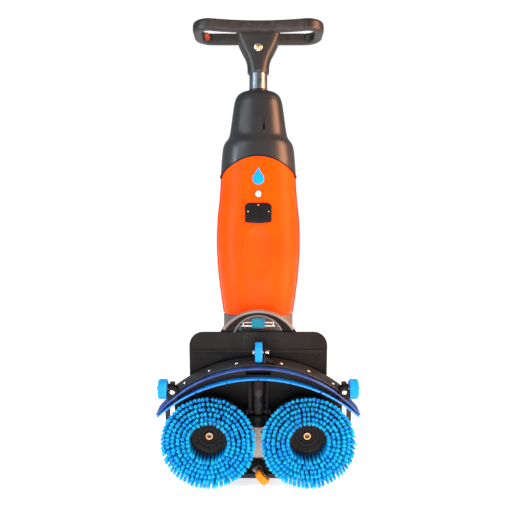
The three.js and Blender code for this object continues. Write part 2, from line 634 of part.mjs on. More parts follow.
function floatPins() {
  return [-1, 1].map((side) => join(
    cylinder(4, 17, "x", side * (FLOAT_ARM.x + 1.5), high(FLOAT_ARM.h), FLOAT_ARM.s, 14),
    cylinder(6.5, 3, "x", side * (FLOAT_ARM.x - 6.5), high(FLOAT_ARM.h), FLOAT_ARM.s, 14),
    box(5, PLATE.low - GAP - 44, 14, side * (FLOAT_ARM.x + 8), high((PLATE.low - GAP + 44) / 2), FLOAT_ARM.s),
  ));
}

// The outer clamp, which leans outwards towards the deck, with its lugs and the centre roller's fin.
function clampStrip() {
  const low = REAR_BLADE.r + BLADE_THICK / 2 + 1;
  const reach = 0.715;
  const rings = Array.from({ length: 19 }, (_, i) => {
    const t = UP - reach + (2 * reach * i) / 18;
    const at = (r, h) => [r * Math.cos(t), high(h), REAR_BLADE.s + r * Math.sin(t)];
    return [at(low, 14), at(low + 4, 14), at(low + 9, 52), at(low + 9, 58), at(low, 58)];
  });
  return loft(rings);
}

function sideLug(side) {
  const arcS = REAR_BLADE.s + Math.sqrt((REAR_BLADE.r + 8) ** 2 - LUG.x ** 2);
  const plate = join(
    cylinder(13, LUG.wide, "x", side * LUG.x, high(ROLLER_R), LUG.s, 20),
    box(LUG.wide, 34, 30, side * LUG.x, high(ROLLER_R + 13), LUG.s - 6),
  );
  const keep = bandOutline(REAR_BLADE, 200, REAR_BLADE.r + 12.5, 0.9, 24);
  const pad = box(LUG.wide, 26, 26, side * LUG.x, high(36), arcS + 8);
  return cut(join(plate, pad), slab(keep, high(-20), high(90)), cylinder(4 + GAP, 60, "x", side * LUG.x,
    high(ROLLER_R), LUG.s, 14));
}

function centreFin() {
  const foot = REAR_BLADE.s + REAR_BLADE.r + 12.5;
  const outline = [[12, foot - 2], [50, foot - 6], [38, foot + 2], [28, foot + 7], [21, foot + 12.5], [12, foot + 12.5]];
  const web = slab(outline, high(ROLLER_R - 6), high(ROLLER_R + 6));
  const cheek = join(
    box(5, 40, 26, 14.5, high(ROLLER_R + 6), foot + 11),
    cylinder(11, 5, "x", 14.5, high(ROLLER_R), FIN_S, 20),
  );
  const keep = bandOutline(REAR_BLADE, 200, REAR_BLADE.r + 12.5, 0.4, 12);
  return cut(join(web, cheek), slab(keep, high(-20), high(90)),
    cylinder(4 + GAP, 60, "x", 14, high(ROLLER_R), FIN_S, 14));
}

// A small wheel with its hub, free on an axle.
function roller(width, x, s) {
  const half = width / 2;
  const g = new THREE.LatheGeometry([[4 + GAP, -half - 1], [9, -half - 1], [9, -half], [ROLLER_R - 2, -half],
    [ROLLER_R, 2 - half], [ROLLER_R, half - 2], [ROLLER_R - 2, half], [9, half], [9, half + 1], [4 + GAP, half + 1],
    [4 + GAP, -half - 1]].map(([r, a]) => new THREE.Vector2(r, a)), 16);
  return solid(g.rotateZ(-Math.PI / 2).translate(x, high(ROLLER_R), s));
}

// A roller's axle, with a hexagon head at each place in `heads`.
function axle(from, to, s, heads) {
  return join(
    cylinder(4, Math.abs(to - from), "x", (from + to) / 2, high(ROLLER_R), s, 14),
    ...heads.map((x) => cylinder(6, 3, "x", x, high(ROLLER_R), s, 6)),
  );
}

// ---- deck: caster and the strip behind it -------------------------------------------------------------
const CASTER_TURN = Math.PI / 4; // the wheel trails towards +X and the front at rest
const casterCentre = [CASTER.trail * Math.sin(CASTER_TURN), CASTER.s - CASTER.trail * Math.cos(CASTER_TURN)];

// Turns a solid drawn with its wheel trailing towards the front into the rest direction.
function swivelled(body) {
  return body.translate([0, 0, -CASTER.s]).rotate([0, 180 * (-CASTER_TURN / Math.PI), 0]).translate([0, 0, CASTER.s]);
}

function casterFork() {
  const centreS = CASTER.s - CASTER.trail;
  const cheeks = [-1, 1].map((side) => join(
    cylinder(7, 2.4, "x", side * (CASTER.width / 2 + 2.2), high(CASTER.r), centreS, 14),
    box(2.4, 26, 14, side * (CASTER.width / 2 + 2.2), high(CASTER.r + 12), centreS + 3),
  ));
  const crown = box(23, 5, 30, 0, high(CASTER.r * 2 + 6), CASTER.s - 4);
  const stem = cylinder(CASTER.pin - GAP, 52, "y", 0, high(CASTER.r * 2 + 8 + 24), CASTER.s, 16);
  const race = cylinder(11, 8, "y", 0, high(CASTER.r * 2 + 12), CASTER.s, 18);
  const axlePin = cylinder(2.5, CASTER.width + 8, "x", 0, high(CASTER.r), centreS, 12);
  return swivelled(join(...cheeks, crown, stem, race, axlePin));
}

function casterWheel() {
  const w = CASTER.width / 2;
  const profile = [[2.5 + GAP, -w + 1], [CASTER.r - 4, -w + 1], [CASTER.r - 1.5, -w + 1.4], [CASTER.r, -w + 4],
    [CASTER.r, w - 4], [CASTER.r - 1.5, w - 1.4], [CASTER.r - 4, w - 1], [2.5 + GAP, w - 1], [2.5 + GAP, -w + 1]];
  const g = new THREE.LatheGeometry(profile.map(([r, a]) => new THREE.Vector2(r, a)), 16).rotateZ(-Math.PI / 2);
  return swivelled(solid(g.translate(0, high(CASTER.r), CASTER.s - CASTER.trail)));
}

function casterMount() {
  const boss = cylinder(15, PLATE.low - GAP - 52, "y", 0, high((PLATE.low - GAP + 52) / 2), CASTER.s, 20);
  const web = box(30, 16, 20, 0, high(PLATE.low - GAP - 8), CASTER.s + 8);
  return cut(join(boss, web), cylinder(CASTER.pin, 60, "y", 0, high(65), CASTER.s, 16));
}

function chassisStrip() {
  const outline = mirror([[21, -164], [17, -190], [13, -215], [15, -254]]);
  return slab(outline, high(66), high(PLATE.low - GAP));
}

// ---- deck: the meshes ---------------------------------------------------------------------------------
const onDeck = (name, body, material) => piece(name, body, material, deck);
onDeck("deck_plate", deckPlate(), BLACK);
onDeck("arch_plate", archPlate(), BLACK);
onDeck("front_bumper", frontBumper(), RUBBER);
onDeck("deck_cover", deckCover(), GLOSS_BLACK);
onDeck("lower_yoke", lowerYoke(), DARK_STEEL);
onDeck("solution_pump", solutionPump(), BLACK);
onDeck("hose_socket", hoseSocket(), BLACK);
onDeck("suction_hose", suctionHose(), RUBBER);
onDeck("latch_shelf", latchShelf(), DARK_STEEL);
onDeck("latch_bail", latchBail(), STEEL);
onDeck("latch_block", latchBlock(), CYAN);
onDeck("chassis_strip", chassisStrip(), CREAM);
onDeck("caster_mount", casterMount(), BLACK);
onDeck("caster_fork", casterFork(), DARK_STEEL);
onDeck("caster_wheel", casterWheel(), AMBER);
onDeck("squeegee_body", squeegeeBody(), BLACK);
onDeck("clamp_strip", clampStrip(), GLOSS_BLACK);
onDeck("rear_blade", blade(REAR_BLADE, 56), BLADE_BLUE);
onDeck("front_blade", blade(FRONT_BLADE, 47), BLADE_BLUE);
onDeck("centre_fin", centreFin(), BLACK);
onDeck("centre_roller", roller(17, 1, FIN_S), BRISTLE_BLUE);
onDeck("centre_axle", axle(-12, 24, FIN_S, [-12, 24]), STEEL);
[["left", -1], ["right", 1]].forEach(([name, side]) => {
  onDeck("motor_" + name, brushMotor(side), DARK_STEEL);
  onDeck("battery_" + name, battery(side), BLACK);
  onDeck("lug_" + name, sideLug(side), BLACK);
  onDeck("roller_" + name, roller(21, side * 231, LUG.s), BRISTLE_BLUE);
  onDeck("axle_" + name, axle(side * 206, side * 246, LUG.s, [side * 245]), STEEL);
  [["brush_disc_", brushDisc(), RUBBER], ["bristles_", bristleRing(), BRISTLE_BLUE]]
    .forEach(([stem, body, material]) =>
      onDeck(stem + name, body.translate([side * BRUSH.x, 0, BRUSH.s]), material));
});

export default machine;
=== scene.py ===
import math
import random

import bpy
import bmesh
from mathutils import Matrix, Vector


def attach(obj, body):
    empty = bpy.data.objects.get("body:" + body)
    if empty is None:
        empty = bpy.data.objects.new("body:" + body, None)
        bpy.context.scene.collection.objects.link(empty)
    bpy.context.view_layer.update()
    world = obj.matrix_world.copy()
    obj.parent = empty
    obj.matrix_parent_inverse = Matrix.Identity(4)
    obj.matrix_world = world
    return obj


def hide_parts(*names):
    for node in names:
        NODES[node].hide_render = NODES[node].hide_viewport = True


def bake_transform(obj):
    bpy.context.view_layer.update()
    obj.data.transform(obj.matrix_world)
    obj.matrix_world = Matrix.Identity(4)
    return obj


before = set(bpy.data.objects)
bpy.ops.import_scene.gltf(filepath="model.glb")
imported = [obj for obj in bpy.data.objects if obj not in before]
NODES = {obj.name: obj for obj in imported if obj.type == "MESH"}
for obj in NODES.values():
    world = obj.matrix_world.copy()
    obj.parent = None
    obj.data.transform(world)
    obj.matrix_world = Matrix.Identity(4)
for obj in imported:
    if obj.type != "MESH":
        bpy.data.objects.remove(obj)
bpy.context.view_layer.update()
MM = 0.001

# ---- camera, light and room ---------------------------------------------------------------------------
COLUMN_BACK = 0.165  # how far the column's axis lies behind the brush tips
EYE = Vector((0, -COLUMN_BACK - 1.5, 0.571))
FOCAL_PIXELS = 620
IMAGE = 512
CENTRE_SHIFT = -2.3 / IMAGE  # the machine stands a little right of the middle


def make_camera():
    data = bpy.data.cameras.new("camera")
    data.sensor_width = 36
    data.lens = FOCAL_PIXELS / IMAGE * data.sensor_width
    data.shift_x = CENTRE_SHIFT
    camera = bpy.data.objects.new("camera", data)
    camera.location = EYE
    camera.rotation_euler = (math.radians(90), 0, 0)
    bpy.context.collection.objects.link(camera)
    bpy.context.scene.camera = camera


def area_light(name, place, target, size, power, colour=(1, 1, 1)):
    data = bpy.data.lights.new(name, "AREA")
    data.shape = "RECTANGLE"
    data.size, data.size_y = size
    data.energy = power
    data.color = colour
    light = bpy.data.objects.new(name, data)
    light.location = place
    light.rotation_euler = (Vector(target) - Vector(place)).to_track_quat("-Z", "Y").to_euler()
    bpy.context.collection.objects.link(light)


def make_room():
    world = bpy.data.worlds.new("world")
    bpy.context.scene.world = world
    world.use_nodes = True
    world.node_tree.nodes["Background"].inputs["Color"].default_value = (1, 1, 1, 1)
    tree = world.node_tree
    seen = tree.nodes.new("ShaderNodeLightPath")
    strength = tree.nodes.new("ShaderNodeMapRange")
    strength.inputs["To Min"].default_value = 0.36
    strength.inputs["To Max"].default_value = 1.02
    tree.links.new(seen.outputs["Is Camera Ray"], strength.inputs["Value"])
    tree.links.new(strength.outputs["Result"], tree.nodes["Background"].inputs["Strength"])
    bpy.context.scene.view_settings.view_transform = "Standard"
    bpy.ops.mesh.primitive_plane_add(size=60, location=(0, 0, -0.001))
    floor = bpy.context.object
    floor.name = "floor"
    finish = bpy.data.materials.new("floor")
    finish.use_nodes = True
    shader = finish.node_tree.nodes["Principled BSDF"]
    shader.inputs["Base Color"].default_value = (0.9, 0.9, 0.9, 1)
    shader.inputs["Roughness"].default_value = 0.9
    shader.inputs["Emission Color"].default_value = (1, 1, 1, 1)
    shader.inputs["Emission Strength"].default_value = 0.7
    floor.data.materials.append(finish)
    area_light("key", (-1.6, -2.2, 2.3), (0, 0, 0.6), (1.4, 1.4), 20, (0.93, 0.97, 1))
    area_light("strip_left", (-1.5, -0.9, 0.7), (0, 0, 0.6), (0.3, 1.8), 26, (0.8, 0.9, 1))
    area_light("strip_right", (1.25, -0.55, 0.85), (0, 0, 0.75), (0.7, 2.2), 85, (1, 0.45, 0.24))
    area_light("underside", (0, -2.0, 0.15), (0, 0, 0.15), (1.2, 0.4), 14)


make_camera()
make_room()


# ---- materials ----------------------------------------------------------------------------------------
class Finish:
    """A node-based material under construction."""

    def __init__(self, name):
        self.material = bpy.data.materials.new(name)
        self.material.use_nodes = True
        self.tree = self.material.node_tree
        self.shader = self.tree.nodes["Principled BSDF"]
        self.bumps = []
        place = self.add("ShaderNodeTexCoord")
        self.where = place.outputs["Object"]

    def add(self, kind, **values):
        node = self.tree.nodes.new(kind)
        for key, value in values.items():
            setattr(node, key, value)
        return node

    def link(self, a, b):
        self.tree.links.new(a, b)

    def fix(self, **values):
        for key, value in values.items():
            self.shader.inputs[key.replace("_", " ")].default_value = value

    def noise(self, scale, detail=4.0, stretch=None, roughness=0.55):
        node = self.add("ShaderNodeTexNoise")
        node.inputs["Scale"].default_value = scale
        node.inputs["Detail"].default_value = detail
        node.inputs["Roughness"].default_value = roughness
        where = self.where
        if stretch:
            mapping = self.add("ShaderNodeMapping")
            mapping.inputs["Scale"].default_value = stretch
            self.link(where, mapping.inputs["Vector"])
            where = mapping.outputs["Vector"]
        self.link(where, node.inputs["Vector"])
        return node.outputs["Fac"]

    def ramp(self, source, low, high, out_low, out_high):
        node = self.add("ShaderNodeMapRange")
        for key, value in (("From Min", low), ("From Max", high), ("To Min", out_low), ("To Max", out_high)):
            node.inputs[key].default_value = value
        self.link(source, node.inputs["Value"])
        return node.outputs["Result"]

    def mix(self, factor, a, b):
        node = self.add("ShaderNodeMix", data_type="RGBA")
        self.link(factor, node.inputs["Factor"])
        for key, value in (("A", a), ("B", b)):
            socket = [s for s in node.inputs if s.name == key and s.type == "RGBA"][0]
            if isinstance(value, bpy.types.NodeSocket):
                self.link(value, socket)
            else:
                socket.default_value = (*value, 1)
        return [s for s in node.outputs if s.type == "RGBA"][0]

    def colour(self, source):
        self.link(source, self.shader.inputs["Base Color"])

    def rough(self, source):
        self.link(source, self.shader.inputs["Roughness"])

    def bump(self, height, distance, strength=1.0):
        node = self.add("ShaderNodeBump")
        node.inputs["Distance"].default_value = distance
        node.inputs["Strength"].default_value = strength
        self.link(height, node.inputs["Height"])
        if self.bumps:
            self.link(self.bumps[-1].outputs["Normal"], node.inputs["Normal"])
        self.bumps.append(node)
        self.link(node.outputs["Normal"], self.shader.inputs["Normal"])

    def worn_edges(self, base, worn, amount=0.5):
        """Lighter rubbed edges, where the surface is sharply convex and a noise lets it through."""
        geometry = self.add("ShaderNodeNewGeometry")
        edge = self.ramp(geometry.outputs["Pointiness"], 0.53, 0.6, 0, 1)
        patch = self.ramp(self.noise(45, 6), 0.42, 0.62, 0, amount)
        both = self.add("ShaderNodeMath", operation="MULTIPLY")
        self.link(edge, both.inputs[0])
        self.link(patch, both.inputs[1])
        return self.mix(both.outputs["Value"], base, worn)


def plastic(name, light, dark, roughness, grain=0.00012, grain_scale=1600, coat=0.0, worn=None, shine=0.45):
    """Moulded plastic: slight colour drift, a fine texture, uneven gloss and rubbed edges."""
    f = Finish(name)
    drift = f.ramp(f.noise(7, 3), 0.35, 0.65, 0, 1)
    base = f.mix(drift, dark, light)
    if worn:
        base = f.worn_edges(base, worn)
    f.colour(base)
    smear = f.noise(22, 5, stretch=(1, 1, 0.35))
    f.rough(f.ramp(smear, 0.3, 0.7, roughness * 0.82, roughness * 1.2))
    f.bump(f.noise(grain_scale, 2), grain, 0.35)
    f.bump(f.noise(28, 2), 0.0006, 0.05)
    f.fix(Specular_IOR_Level=shine, Coat_Weight=coat, Coat_Roughness=0.08)
    return f.material


def rubber(name, light, dark, roughness=0.7):
    f = Finish(name)
    f.colour(f.worn_edges(f.mix(f.ramp(f.noise(60, 6), 0.35, 0.7, 0, 1), dark, light), (0.12, 0.12, 0.12), 0.6))
    f.rough(f.ramp(f.noise(35, 4), 0.3, 0.7, roughness * 0.85, min(1, roughness * 1.15)))
    f.bump(f.noise(900, 3), 0.0002, 0.5)
    f.fix(Specular_IOR_Level=0.35)
    return f.material


def metal(name, light, dark, roughness, stretch=(1, 1, 18)):
    """Brushed or drawn metal with its lines across the stretch."""
    f = Finish(name)
    lines = f.noise(60, 3, stretch=stretch)
    f.colour(f.mix(f.ramp(lines, 0.3, 0.7, 0, 1), dark, light))
    f.rough(f.ramp(f.noise(40, 4), 0.3, 0.7, roughness * 0.75, roughness * 1.3))
    f.bump(lines, 0.00004, 0.15)
    f.fix(Metallic=1.0)
    return f.material


def bristle_finish():
    """Nylon filaments: each a slightly different blue, and darker towards the foot, which is painted shade among the
    packed tufts.
    """
    f = Finish("bristle_nylon")
    tint = f.add("ShaderNodeAttribute", attribute_name="tint").outputs["Fac"]
    root_shade = f.add("ShaderNodeAttribute", attribute_name="root_shade").outputs["Fac"]
    body = f.mix(tint, (0.0, 0.42, 0.96), (0.004, 0.66, 1.0))
    # Mixes towards dark blue near each filament's foot: painted shade.
    f.colour(f.mix(root_shade, body, (0.0, 0.1, 0.4)))
    f.rough(f.ramp(f.noise(300, 2), 0.3, 0.7, 0.32, 0.5))
    f.fix(Subsurface_Weight=0.08, Subsurface_Scale=0.002, Specular_IOR_Level=0.5)
    return f.material


def blade_finish(name, light, dark):
    f = Finish(name)
    f.colour(f.mix(f.ramp(f.noise(30, 5), 0.35, 0.65, 0, 1), dark, light))
    f.rough(f.ramp(f.noise(50, 4), 0.3, 0.7, 0.22, 0.42))
    f.bump(f.noise(160, 3, stretch=(1, 0.1, 1)), 0.0003, 0.3)
    f.fix(Specular_IOR_Level=0.55)
    return f.material


MATERIALS = {
    "orange": plastic("orange_shell", (0.92, 0.072, 0.0), (0.84, 0.052, 0.0), 0.36, 0.00005, 1200, shine=0.07),
    "black": plastic("black_plastic", (0.013, 0.013, 0.0135), (0.007, 0.007, 0.0075), 0.4,
                     worn=(0.07, 0.07, 0.07), shine=0.42),
    "deck_black": plastic("deck_black", (0.007, 0.007, 0.0075), (0.003, 0.003, 0.0033), 0.45, worn=(0.05, 0.05, 0.05),
                          shine=0.14),
    "gloss_black": plastic("gloss_black", (0.018, 0.021, 0.024), (0.011, 0.014, 0.017), 0.32, 0.00006, 1500,
                           shine=0.45),
    "rubber": rubber("grip_rubber", (0.028, 0.029, 0.031), (0.013, 0.013, 0.014), 0.55),
    "bristle": bristle_finish(),
    "blue": plastic("blue_plastic", (0.0, 0.3, 0.84), (0.0, 0.24, 0.74), 0.4, worn=(0.08, 0.42, 0.9), shine=0.2),
    "rear_blade": blade_finish("rear_blade", (0.008, 0.07, 0.32), (0.004, 0.03, 0.18)),
    "front_blade": blade_finish("front_blade", (0.0, 0.26, 0.78), (0.0, 0.16, 0.58)),
    "cyan": plastic("cyan_plastic", (0.0, 0.25, 0.37), (0.0, 0.18, 0.29), 0.45, shine=0.25),
    "steel": metal("bright_steel", (0.85, 0.84, 0.82), (0.55, 0.54, 0.53), 0.22),
    "dark_steel": metal("dark_steel", (0.2, 0.24, 0.27), (0.14, 0.165, 0.185), 0.32, (18, 18, 1)),
    "brass": metal("brass", (0.92, 0.6, 0.3), (0.62, 0.36, 0.14), 0.28),
    "cream": plastic("cream_plastic", (0.7, 0.62, 0.5), (0.58, 0.5, 0.39), 0.5),
    "amber": plastic("amber_tyre", (0.86, 0.25, 0.002), (0.78, 0.18, 0.001), 0.36, shine=0.2),
    "red": plastic("red_plastic", (0.42, 0.035, 0.03), (0.3, 0.02, 0.018), 0.45),
    "grey": plastic("grey_plastic", (0.12, 0.105, 0.095), (0.075, 0.066, 0.06), 0.5),
    # Grey for the arch and window rims is painted highlight: the rims are black plastic, and the grey stands in for
    # their lit edges.
    "painted_rim_highlight": plastic("rim_grey_painted_highlight", (0.2, 0.195, 0.19), (0.12, 0.118, 0.115), 0.3, 0.00006, 1500, 0.3),
    "white": plastic("white_plastic", (0.86, 0.84, 0.8), (0.78, 0.75, 0.7), 0.35),
    "glass": plastic("display_glass", (0.006, 0.008, 0.01), (0.004, 0.005, 0.006), 0.06, 0.00001, 800, 0.6),
    "hub": plastic("hub_black", (0.006, 0.007, 0.008), (0.003, 0.004, 0.005), 0.42, shine=0.16),
    "teal": plastic("dark_teal", (0.0, 0.085, 0.11), (0.0, 0.055, 0.075), 0.4),
}


# ---- shape tools --------------------------------------------------------------------------------------
LEAN = math.radians(8)
PIVOT_H = 163
DECK = Matrix.Translation((0, -0.03, 0.324)) @ Matrix.Rotation(LEAN, 4, "X")


def deck_point(x, h, s):
    """A place on the deck: across, height over its floor side, along it. Millimetres in, metres out."""
    return DECK @ Vector((x * MM, (h - PIVOT_H) * MM, s * MM))


def make(name, points, faces, finish, body, place=None, smooth=35, bevel=0.0, segments=2, replaces=(), slot=None):
    """A named piece from points in millimetres; `place` maps them from the deck's own axes."""
    mesh = bpy.data.meshes.new(name)
    if place is None:
        verts = [Vector(p) * MM for p in points]
    else:
        verts = [place @ (Vector(p) * MM) for p in points]
    mesh.from_pydata(verts, [], faces)
    mesh.validate()
    bm = bmesh.new()
    bm.from_mesh(mesh)
    bmesh.ops.recalc_face_normals(bm, faces=bm.faces)
    bm.to_mesh(mesh)
    bm.free()
    obj = bpy.data.objects.new(name, mesh)
    bpy.context.collection.objects.link(obj)
    mesh.materials.append(MATERIALS[finish])
    shade(obj, smooth)
    if bevel:
        soften(obj, bevel, segments)
    if body:
        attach(obj, body)
    if replaces:
        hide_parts(*replaces)
    return obj


def shade(obj, angle=35):
    mesh = obj.data
    mesh.polygons.foreach_set("use_smooth", [True] * len(mesh.polygons))
    mesh.set_sharp_from_angle(angle=math.radians(angle))


def soften(obj, width, segments=2, angle=38):
    weld = obj.modifiers.new("weld", "WELD")
    weld.merge_threshold = 0.00001
    bevel = obj.modifiers.new("bevel", "BEVEL")
    bevel.width = width * MM
    bevel.segments = segments
    bevel.limit_method = "ANGLE"
    bevel.angle_limit = math.radians(angle)
    bevel.use_clamp_overlap = True
    bevel.harden_normals = True


def tube_faces(rings, count, endless=False, caps=True):
    """Faces that join rings of `count` points each."""
    faces = []
    spans = rings if endless else rings - 1
    for i in range(spans):
        a, b = i * count, ((i + 1) % rings) * count
        for j in range(count):
            k = (j + 1) % count
            faces.append((a + j, a + k, b + k, b + j))
    if caps and not endless:
        faces.append(tuple(range(count - 1, -1, -1)))
        faces.append(tuple(range((rings - 1) * count, rings * count)))
    return faces


def loft(name, rings, finish, body, endless=False, **options):
    points = [p for ring in rings for p in ring]
    return make(name, points, tube_faces(len(rings), len(rings[0]), endless), finish, body, **options)


def turned(name, profile, finish, body, centre=(0, 0, 0), axis="Z", sides=64, hollow=False, **options):
    """A [radius, distance] profile about an axis; `hollow` joins its two ends."""
    rings = []
    for radius, along in profile:
        ring = []
        for i in range(sides):
            t = 2 * math.pi * i / sides
            a, b = radius * math.cos(t), radius * math.sin(t)
            p = {"X": (along, a, b), "Y": (b, along, a), "Z": (a, b, along)}[axis]
            ring.append(tuple(c + o for c, o in zip(p, centre)))
        rings.append(ring)
    return loft(name, rings, finish, body, endless=hollow, **options)


def blended(profile, z):
    """Half width at height z on a smooth curve through the profile's points."""
    last = len(profile) - 1
    i = next((k - 1 for k, p in enumerate(profile) if p[0] > z), last - 1)
    i = max(0, i)

    def slope(k):
        a, b = profile[max(0, k - 1)], profile[min(last, k + 1)]
        return (b[1] - a[1]) / (b[0] - a[0])

    span = profile[i + 1][0] - profile[i][0]
    t = min(1, max(0, (z - profile[i][0]) / span))
    t2, t3 = t * t, t ** 3
    return ((2 * t3 - 3 * t2 + 1) * profile[i][1] + (t3 - 2 * t2 + t) * slope(i) * span
            + (3 * t2 - 2 * t3) * profile[i + 1][1] + (t3 - t2) * slope(i + 1) * span)


def rounded(v, power):
    return math.copysign(abs(v) ** (2 / power), v)


def section(half_width, half_depth, z, count=96, power=2.5, y=0):
    ring = []
    for i in range(count):
        t = 2 * math.pi * i / count
        ring.append((half_width * rounded(math.cos(t), power), y + half_depth * rounded(math.sin(t), power), z))
    return ring


def prism(name, outline, low, high, finish, body, hole=None, **options):
    """An outline in X and the deck's length, from height `low` to `high` over the deck's floor side."""
    count = len(outline)
    lower = [(x, low - PIVOT_H, s) for x, s in outline]
    upper = [(x, high - PIVOT_H, s) for x, s in outline]
    faces = [tuple(range(count)), tuple(range(2 * count - 1, count - 1, -1))]
    faces += [(i, (i + 1) % count, count + (i + 1) % count, count + i) for i in range(count)]
    return make(name, lower + upper, faces, finish, body, place=DECK, **options)


def arc(cx, cs, r, a, b, steps):
    return [(cx + r * math.cos(a + (b - a) * i / steps), cs + r * math.sin(a + (b - a) * i / steps))
            for i in range(steps + 1)]


def carve(obj, *cutters):
    """Cuts the given pieces out of obj for good and throws them away."""
    for cutter in cutters:
        step = obj.modifiers.new("cut", "BOOLEAN")
        step.object = cutter
        step.solver = "EXACT"
        obj.modifiers.move(len(obj.modifiers) - 1, 0)
        bpy.context.view_layer.update()
        plain = [m for m in obj.modifiers if m.type != "BOOLEAN"]
        for m in plain:
            m.show_viewport = False
        graph = bpy.context.evaluated_depsgraph_get()
        result = bpy.data.meshes.new_from_object(obj.evaluated_get(graph))
        obj.modifiers.remove(step)
        obj.data = result
        for m in plain:
            m.show_viewport = True
        bpy.data.objects.remove(cutter)
    shade(obj)


# ---- column -------------------------------------------------------------------------------------------
TANK_PROFILE = [(420, 93.5), (450, 98), (520, 107), (600, 112), (670, 110), (730, 104), (786, 100.5), (846, 96)]
COVER_PROFILE = [(775, 101), (846, 96), (868, 91), (884, 80), (900, 75.5), (974, 65), (990, 60.5), (1000, 54),
                 (1007, 43), (1010, 30)]
NECK_PROFILE = [(1064, 29), (1082, 30), (1099, 34.5), (1118, 44), (1137, 52.5), (1158, 59)]
DEPTH = 0.86
SPLIT = 8.5
SEAM_SIDE = 783
GAP = 0.3


def seam(x):
    return 828 - 45 * (x / 100) ** 2


def oval(a, b, t, power):
    """A point of a rounded section, evenly spread across X."""
    c = math.cos(t)
    return a * c, math.copysign(b * (1 - abs(c) ** power) ** (1 / power), math.sin(t))


def scoop_y(x, z):
    """The shallow hand hollow low on the front tank, as the Y of its floor."""
    left = 1 - (x / 50) ** 2 - ((z - 552) / 108) ** 2
    front = -blended(TANK_PROFILE, 552) * DEPTH
    return front - 6.4 + 11 * math.sqrt(left) if left > 0 else -999


def tank(side, columns, levels):
    rings = []
    for k in range(levels + 1):
        level = 420 + (SEAM_SIDE - 420) * k / levels
        front, back = [], []
        for i in range(columns + 1):
            t = math.pi * i / columns
            z = level
            for _ in range(5):
                w = blended(TANK_PROFILE, z)
                a = w - 5 if side < 0 else w
                x, y = oval(a, w * DEPTH - SPLIT, t, 2.5)
                z = level + (seam(x) - SEAM_SIDE) * max(0, (level - 700) / (SEAM_SIDE - 700)) - GAP
            y = side * (SPLIT + y)
            if side < 0:
                y = max(y, min(scoop_y(x, z), -SPLIT))
            front.append((x, y, z))
            back.append((x, side * SPLIT, z))
        rings.append(front + back[-2:0:-1])
    return rings


def strip_ends(name, rings, columns, finish, **options):
    """A half tank: rings that run round the front and back along the flat side, with capped ends."""
    count = len(rings[0])
    faces = tube_faces(len(rings), count, caps=False)
    for start in (0, (len(rings) - 1) * count):
        for i in range(columns):
            b0 = start + (count - i) % count if i else start
            b1 = start + count - i - 1
            quad = (start + i, start + i + 1, b1, b0) if i < columns - 1 else (start + i, start + i + 1, b0)
            faces.append(tuple(dict.fromkeys(quad)))
    return make(name, [p for r in rings for p in r], faces, finish, "column", **options)


strip_ends("recovery_tank_shell", tank(-1, 170, 150), 170, "orange", bevel=1.2, segments=3,
           replaces=("recovery_tank",), slot="orange_shell")
strip_ends("solution_tank_shell", tank(1, 90, 60), 90, "orange", bevel=1.6, segments=3,
           replaces=("solution_tank",), slot="orange_shell")


def cover_ring(level, grow, count=144):
    ring = []
    for i in range(count):
        t = 2 * math.pi * (i + 0.5) / count
        z = level
        for _ in range(5):
            w = blended(COVER_PROFILE, z) + grow
            x, y = oval(w, w * DEPTH, t, 2.4)
            z = level + (seam(x) - SEAM_SIDE) * max(0, 1 - (level - SEAM_SIDE) / 85)
        ring.append((x, y, z))
    return ring


def round_ring(radius, z, count=144):
    angles = [2 * math.pi * (i + 0.5) / count for i in range(count)]
    return [(radius * math.cos(t), radius * math.sin(t), z) for t in angles]


def shoulder_cover():
    levels = [SEAM_SIDE + 3 * k for k in range(66)] + [980.4, 981, 981.8, 982.4, 984, 986, 988]
    levels += [990 + k for k in range(21)]
    rings = [cover_ring(z, -0.9 if 980.8 < z < 982 else 0) for z in levels]
    rings += [round_ring(24.4, 1010), round_ring(24.4, 992)]
    rings += [cover_ring(z, -4.5) for z in (990, 970, 950, 900, 884, 868, 840, 810, SEAM_SIDE)]
    cover = loft("shoulder_cover_shell", rings, "gloss_black", "shoulder_cover", endless=True,
                 replaces=("shoulder_cover",), slot="gloss_black")
    slot = make("slot_cutter", *block(14.5, -69, 914, 4.6, 20, 33), "black", None)
    carve(cover, slot)
    soften(cover, 0.8, 2)


def block(x, y, z, dx, dy, dz):
    """Corner points and faces of a box about a centre."""
    points = [(x + sx * dx / 2, y + sy * dy / 2, z + sz * dz / 2)
              for sx in (-1, 1) for sy in (-1, 1) for sz in (-1, 1)]
    return points, [(0, 1, 3, 2), (4, 6, 7, 5), (0, 4, 5, 1), (2, 3, 7, 6), (0, 2, 6, 4), (1, 5, 7, 3)]


shoulder_cover()


# A dark band along the seam between tank and cover: painted shade for the shadow in the seam's gap.
def seam_shadow_band():
    profile = [(-2.5, -2.4), (0.9, -2.4), (1.5, -1.6), (1.6, 0), (1.5, 1.2), (0.9, 1.8), (-2.5, 1.8)]
    count = 144
    rings = []
    for i in range(count):
        t = 2 * math.pi * i / count
        ring = []
        for out, up in profile:
            z = 800
            for _ in range(4):
                w = blended(TANK_PROFILE, z)
                x, y = oval(w + out, w * DEPTH + out, t, 2.45)
                z = seam(x)
            ring.append((x, y, z + up))
        rings.append(ring)
    loft("seam_shadow_band", rings, "deck_black", "column", endless=True, smooth=50, slot="grip_rubber")


seam_shadow_band()


def front_y(x, z, proud=0.0):
    w = blended(TANK_PROFILE, z)
    return -(SPLIT + (w * DEPTH - SPLIT) * (1 - min(1, abs(x / (w - 5))) ** 2.5) ** 0.4) - proud


